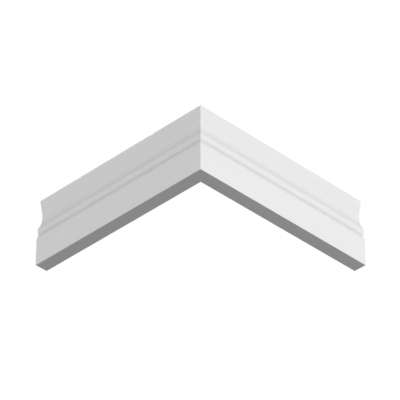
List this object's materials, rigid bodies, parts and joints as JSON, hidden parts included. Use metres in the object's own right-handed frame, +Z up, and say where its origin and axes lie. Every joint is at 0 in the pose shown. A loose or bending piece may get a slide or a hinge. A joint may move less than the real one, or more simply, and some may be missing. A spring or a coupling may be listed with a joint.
{
  "type": "skirting board corner",
  "caption": "Outside corner of moulded skirting board: mitred lengths with a plain plinth, a quirk, a flat bead and a cove that sweeps up to a narrow top.",
  "frame": {"origin": "where the outside corner of the wall meets the floor: the foot of the mitre's back edge", "axes": "+Z up; the left length runs along -X with its back to the wall facing +Y, the right length runs along +Y with its back facing -X, and the moulded faces look along -Y and +X"},
  "size_m": [0.279, 0.279, 0.096],
  "materials": {
    "left_length": "white eggshell paint on MDF",
    "right_length": "white eggshell paint on MDF"
  },
  "bodies": {
    "root": {"left_length": "left_length", "right_length": "right_length"}
  },
  "joints": []
}
